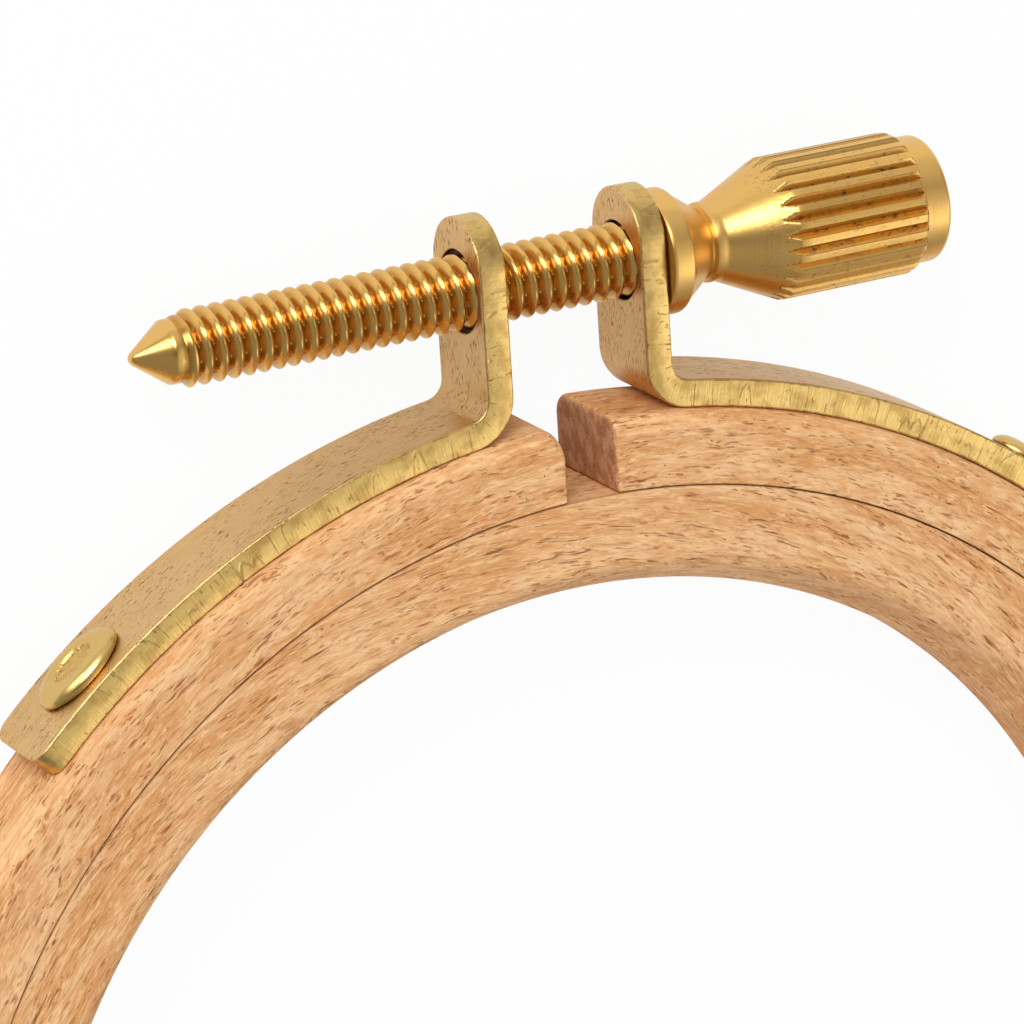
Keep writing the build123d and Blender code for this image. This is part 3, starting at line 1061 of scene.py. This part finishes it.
# %% The turned brass of the screw and the rivets
def screw_brass():
    finish, start = new_finish("screw_brass", "Metallic", 1.0)
    # Deep is 0 on a crest and 1 at the bottom of a groove, of the thread or of the knurl.
    x, radius, deep = start.read("turned").parts()
    rest_y, rest_z = start.read("rest").parts()[1:]
    marks = start.vector(x / 0.06, radius / 0.06, 0.0).noise(2.0)
    cloud = start.vector(x / 1.2, rest_y / 1.2, rest_z / 1.2).noise(3.0)
    grit = start.vector(x / 0.35, rest_y / 0.2, rest_z / 0.2).noise(2.0, 0.6)
    thread = x.rise(COLLAR_X, COLLAR_X - 0.1)
    knurl = x.rise(KNURL_START - 2.5, KNURL_START - 2.0) * x.rise(KNURL_END + 0.1, KNURL_END)
    # Painted amber in the valleys for the brass's reflection in itself and for shade, dirt in the knurl's
    # grooves, and painted shade as a dark line along each groove's lip and at the grooves' bottoms.
    valley_reflection_shade = thread * deep.rise(0.1, 0.75) + knurl * deep.rise(0.02, 0.3) * 0.1
    dirt = knurl * (0.2 + 0.7 * deep.rise(0.2, 0.9)) * grit.rise(0.52, 0.64) * cloud.rise(0.42, 0.56)
    nick = knurl * grit.rise(0.66, 0.72)
    # Painted shade: a dark line along each knurl groove's lip, and darker groove bottoms.
    lip_shade = knurl * (deep.rise(0.02, 0.05) * deep.rise(0.14, 0.09) + deep.rise(0.38, 0.45) * 0.3)
    colour = start.blend(BRIGHT_GOLD, STRIP_FACE, cloud.rise(0.35, 0.75) * 0.35).layers(
        (VALLEY_REFLECTION_AMBER, valley_reflection_shade * 0.75),
        (PIT_AND_SHADE_BROWN, dirt * 0.7),
        (PIT_AND_SHADE_BROWN, nick * 0.5 + lip_shade * 0.6))
    knob = x.rise(COLLAR_X - 0.1, COLLAR_X)
    roughness = 0.19 + 0.08 * cloud + 0.25 * dirt + 0.07 * knob
    height = (0.15 + 0.5 * knob) * marks + 0.5 * knurl * grit
    apply_finish(start, colour, roughness, height, 0.02)
    return finish


def rivet_brass():
    finish, start = new_finish("rivet_brass", "Metallic", 1.0)
    # Height runs along the rivet's own axis. The head's hollow is rough, and dirty where it was struck.
    x, y, height = start.read("turned").parts()
    out = start.math("SQRT", x * x + y * y)
    hollow = out.rise(CREST - 0.15, HOLLOW_FLOOR)
    cloud = start.vector(x / 1.0, y / 1.0, height).noise(3.0)
    lumps = start.vector(x / 0.22, y / 0.22, height / 0.3).noise(3.0, 0.6)
    struck = hollow * cloud.rise(0.45, 0.55)
    colour = start.blend(STRIP_GOLD, STRIP_FACE, cloud.rise(0.4, 0.7) * 0.4).layers(
        (PIT_AND_SHADE_BROWN, struck * lumps.rise(0.55, 0.68) * 0.7),
        # Painted shade: the foot of the head, where it meets the strap, is darkened.
        (PIT_AND_SHADE_BROWN, height.rise(HEAD_SEAT + 0.2, HEAD_SEAT) * 0.6))
    roughness = 0.24 + 0.06 * cloud + 0.12 * hollow
    relief = lumps * (0.01 + 0.4 * hollow + 1.2 * struck)
    apply_finish(start, colour, roughness, relief, 0.07)
    return finish


bracket_metal = strip_brass()
screw_metal = screw_brass()
rivet_metal = rivet_brass()
print("finishes:", [finish.name for finish in bpy.data.materials])

# %% [markdown]
# ## Each piece on its body
# Every piece stands for one CAD node, hides it and takes its finish. Each piece but the outer ring rides
# on its body; the outer ring keeps its place baked into its points.

# %% Dress the frame
DRESSING = [
    (inner_ring, "inner_ring", "inner_wood", inner_wood, "inner_body"),
    (outer_ring, "outer_ring", "outer_wood", outer_wood, None),
    (right_bracket, "right_bracket", "bracket_brass", bracket_metal, "outer_body"),
    (left_bracket, "left_bracket", "bracket_brass", bracket_metal, "left_end"),
    (right_rivet, "right_rivet", "rivet_brass", rivet_metal, "outer_body"),
    (left_rivet, "left_rivet", "rivet_brass", rivet_metal, "left_end"),
    (clamp_screw, "clamp_screw", "screw_brass", screw_metal, "screw"),
]
for piece, node, slot, finish, body in DRESSING:
    piece.data.materials.clear()
    piece.data.materials.append(finish)
    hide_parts(node)
    if body:
        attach(piece, body)
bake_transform(outer_ring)

# %% [markdown]
# ## Floor, light and camera
# The photograph is a plain product picture on white, taken with a long lens. The floor is pale and lies
# under the lowest point of the knob. To the camera it glows nearly white, and a small share of plain
# paint keeps the hoop's shadow. To gloss it glows half as much, so that the brass keeps its colour
# underneath.

# %% Floor and world
lowest = min(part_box(node)[0].z for node in frame["nodes"])
FLOOR_HALF = 3.0
FLOOR_GLOW = 0.95
FLOOR_MIRRORED = 0.5


def seen_rays(start):
    """1 for what the camera sees, and 1 for what gloss and glass see, as two wires."""
    path = start.node("ShaderNodeLightPath", {}, {}).socket.node.outputs
    seen, gloss, glass = [Wire(start.tree, path[name]) for name in
                          ("Is Camera Ray", "Is Glossy Ray", "Is Transmission Ray")]
    return seen, start.math("MAXIMUM", gloss, glass)


def make_floor():
    mesh = bpy.data.meshes.new("floor")
    corners = [(x * FLOOR_HALF, y * FLOOR_HALF, lowest) for x, y in ((-1, -1), (1, -1), (1, 1), (-1, 1))]
    mesh.from_pydata(corners, [], [(0, 1, 2, 3)])
    floor = bpy.data.objects.new("floor", mesh)
    scene.collection.objects.link(floor)
    paint = bpy.data.materials.new("floor_paint")
    paint.use_nodes = True
    tree = paint.node_tree
    start = Wire(tree)
    seen, mirrored = seen_rays(start)
    matt = start.node("ShaderNodeBsdfDiffuse", {}, {"Color": (0.9, 0.9, 0.9, 1.0)})
    glow = start.node("ShaderNodeEmission", {}, {"Color": (1.0, 1.0, 1.0, 1.0), "Strength": 1.0})
    share = seen * FLOOR_GLOW + mirrored * FLOOR_MIRRORED
    mixed = start.node("ShaderNodeMixShader", {}, {0: share, 1: matt, 2: glow})
    tree.links.new(mixed.socket, tree.nodes["Material Output"].inputs["Surface"])
    mesh.materials.append(paint)
    print("floor at", round(lowest / MM, 2), "mm")


def toward(sky, direction):
    """How nearly the sky's direction is this one: 1 is the same, 0 is square to it."""
    way = Vector(direction).normalized()
    return sky[0] * way.x + sky[1] * way.y + sky[2] * way.z


def make_world():
    """White to the camera. To metal it is a grey room with one pale wall and a pale patch of ceiling,
    dark where the photograph's camera stood, which gives gloss its shape."""
    world = bpy.data.worlds.new("studio")
    scene.world = world
    world.use_nodes = True
    tree = world.node_tree
    start = Wire(tree)
    seen, mirrored = seen_rays(start)
    sky = start.node("ShaderNodeTexCoord", {}, {}, "Generated").parts()
    far_wall = toward(sky, (0.2, 1.0, 0.15)).rise(0.6, 0.95)
    ceiling = toward(sky, (0.5, -0.3, 0.8)).rise(0.6, 0.95)
    near_camera = toward(sky, (-0.43, 0.25, 0.87)).rise(0.88, 0.98)
    room = 0.32 + 0.4 * far_wall + 0.42 * ceiling - 0.16 * near_camera
    strength = seen + mirrored * room + (1 - seen) * (1 - mirrored) * 0.62
    tree.links.new(strength.socket, tree.nodes["Background"].inputs["Strength"])
    tree.nodes["Background"].inputs["Color"].default_value = (1.0, 1.0, 1.0, 1.0)


make_floor()
make_world()

# %% [markdown]
# A soft lamp stands above the split, on the left of the picture, and draws the bright streaks on the
# brass. A lower one beside it reaches the ends that face left, and a weak one fills from the right.

# %% Lamps
HOOP_TOP = Vector((0.0, 0.05, 0.0))


def soft_lamp(name, place, size, power):
    """A square lamp at this place, in metres, that looks at the hoop's top."""
    lamp = bpy.data.lights.new(name, "AREA")
    lamp.shape = "SQUARE"
    lamp.size = size
    lamp.energy = power
    thing = bpy.data.objects.new(name, lamp)
    scene.collection.objects.link(thing)
    thing.location = place
    thing.rotation_mode = "QUATERNION"
    thing.rotation_quaternion = (HOOP_TOP - Vector(place)).to_track_quat("-Z", "Y")
    print(name, power, "W")


soft_lamp("key_lamp", (-0.38, 0.72, 0.64), 0.45, 4.4)
soft_lamp("side_lamp", (-0.75, 0.62, 0.38), 0.35, 1.6)
soft_lamp("fill_lamp", (0.7, -0.3, 0.7), 0.6, 1.2)

# %% Camera
CAMERA_PLACE = (-0.18304657, 0.17393527, 0.36722711)
CAMERA_RIGHT = (0.88835958, -0.06086084, 0.45509692)
CAMERA_DOWN = (-0.1885824, -0.95207932, 0.24079407)
CAMERA_FORWARD = (0.41863341, -0.29973499, -0.85726601)
FOCAL_PIXELS = 6884.936
PICTURE = 1024
SENSOR = 36.0


def make_camera():
    camera = bpy.data.cameras.new("photo_camera")
    camera.sensor_width = SENSOR
    camera.lens = FOCAL_PIXELS * SENSOR / PICTURE
    camera.clip_start = 0.01
    thing = bpy.data.objects.new("photo_camera", camera)
    scene.collection.objects.link(thing)
    turn = Matrix((CAMERA_RIGHT, -Vector(CAMERA_DOWN), -Vector(CAMERA_FORWARD))).transposed()
    thing.matrix_world = Matrix.Translation(CAMERA_PLACE) @ turn.to_4x4()
    scene.camera = thing
    print("lens:", round(camera.lens, 1), "mm")


make_camera()
